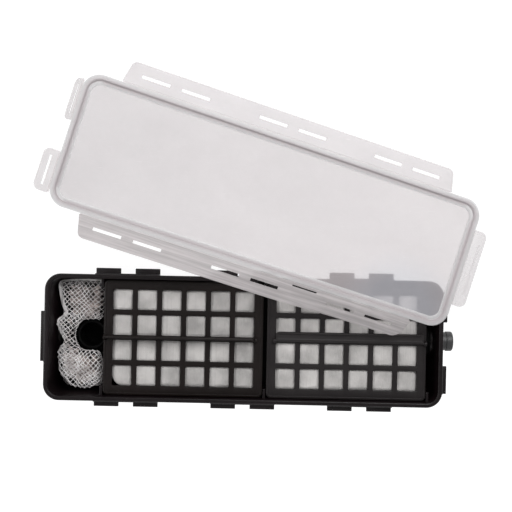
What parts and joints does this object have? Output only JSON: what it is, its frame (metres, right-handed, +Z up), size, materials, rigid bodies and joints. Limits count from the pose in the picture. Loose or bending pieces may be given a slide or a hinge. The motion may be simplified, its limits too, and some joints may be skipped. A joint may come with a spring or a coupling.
{
  "type": "flow-through box filter",
  "caption": "Long black filter tub with lift-out grid cassettes, a netted media bag round an upright inlet mouth, end hose tails and a frosted clear lid with slotted locking flaps, laid open.",
  "frame": {"origin": "centre of the tub's flat underside", "axes": "+X along the tub towards the outlet, +Y across the tub towards the open lid, +Z up"},
  "size_m": [0.4468, 0.3359, 0.1223],
  "materials": {
    "tub_black": "fine matt moulded polypropylene, black",
    "fitting_grey": "satin moulded plastic, dark grey",
    "fitting_black": "satin moulded plastic, black",
    "seal_black": "black rubber",
    "cassette_black": "fine matt moulded plastic, brown-black",
    "foam": "open-cell filter foam, dark blue-grey",
    "fleece": "white needled polyester fleece",
    "netting": "white knitted nylon net",
    "ceramic": "pale porous ceramic",
    "lid_clear": "frosted clear polypropylene",
    "seal_clear": "pale silicone"
  },
  "bodies": {
    "tub": {"tub": "tub_black", "inlet_tail": "fitting_grey", "inlet_oring": "seal_black", "inlet_nut": "fitting_black", "inlet_elbow": "fitting_black", "outlet_tail": "fitting_grey", "outlet_oring": "seal_black", "outlet_nut": "fitting_black"},
    "cassette_1": {"cassette_1_basket": "cassette_black", "cassette_1_foam": "foam", "cassette_1_fleece": "fleece", "cassette_1_cover": "cassette_black"},
    "cassette_1_handle": {"cassette_1_handle": "cassette_black"},
    "cassette_2": {"cassette_2_basket": "cassette_black", "cassette_2_foam": "foam", "cassette_2_fleece": "fleece", "cassette_2_cover": "cassette_black"},
    "cassette_2_handle": {"cassette_2_handle": "cassette_black"},
    "media_bag": {"media_bag": "netting", "ceramic_media": "ceramic"},
    "lid": {"lid_shell": "lid_clear", "lid_gasket": "seal_clear"},
    "front_flap": {"front_flap": "lid_clear"},
    "rear_flap": {"rear_flap": "lid_clear"},
    "wide_end_flap": {"wide_end_flap": "lid_clear"},
    "end_clip_a": {"end_clip_a": "lid_clear"},
    "end_clip_b": {"end_clip_b": "lid_clear"}
  },
  "joints": [
    {"name": "cassette_1_lift", "type": "slide", "parent": "tub", "child": "cassette_1", "axis": [0, 0, 1], "range_m": [0, 0.034]},
    {"name": "cassette_2_lift", "type": "slide", "parent": "tub", "child": "cassette_2", "axis": [0, 0, 1], "range_m": [0, 0.015]},
    {"name": "media_bag_lift", "type": "slide", "parent": "tub", "child": "media_bag", "axis": [0, 0, 1], "range_m": [0, 0.06]},
    {"name": "lid_lift", "type": "slide", "parent": "tub", "child": "lid", "axis": [0, 0, 1], "range_m": [0, 0.1]},
    {"name": "handle_1_fold", "type": "hinge", "parent": "cassette_1", "child": "cassette_1_handle", "pos_m": [-0.061, 0, 0.0643], "axis": [1, 0, 0], "range_deg": [-80, 10]},
    {"name": "handle_2_fold", "type": "hinge", "parent": "cassette_2", "child": "cassette_2_handle", "pos_m": [0.104, 0, 0.0643], "axis": [1, 0, 0], "range_deg": [0, 90]},
    {"name": "front_flap_fold", "type": "hinge", "parent": "lid", "child": "front_flap", "pos_m": [0.00287, 0.07312, 0.101], "axis": [0.9535, -0.2879, -0.0889], "range_deg": [-20, 90]},
    {"name": "rear_flap_fold", "type": "hinge", "parent": "lid", "child": "rear_flap", "pos_m": [0.04113, 0.19987, 0.101], "axis": [-0.9535, 0.2879, 0.0889], "range_deg": [-20, 90]},
    {"name": "wide_end_flap_fold", "type": "hinge", "parent": "lid", "child": "wide_end_flap", "pos_m": [0.21528, 0.07815, 0.08298], "axis": [0.289, 0.9573, 0], "range_deg": [-20, 90]},
    {"name": "end_clip_a_fold", "type": "hinge", "parent": "lid", "child": "end_clip_a", "pos_m": [-0.18169, 0.16039, 0.11902], "axis": [-0.289, -0.9573, 0], "range_deg": [-20, 90]},
    {"name": "end_clip_b_fold", "type": "hinge", "parent": "lid", "child": "end_clip_b", "pos_m": [-0.16087, 0.22932, 0.11902], "axis": [-0.289, -0.9573, 0], "range_deg": [-75, 35]}
  ]
}
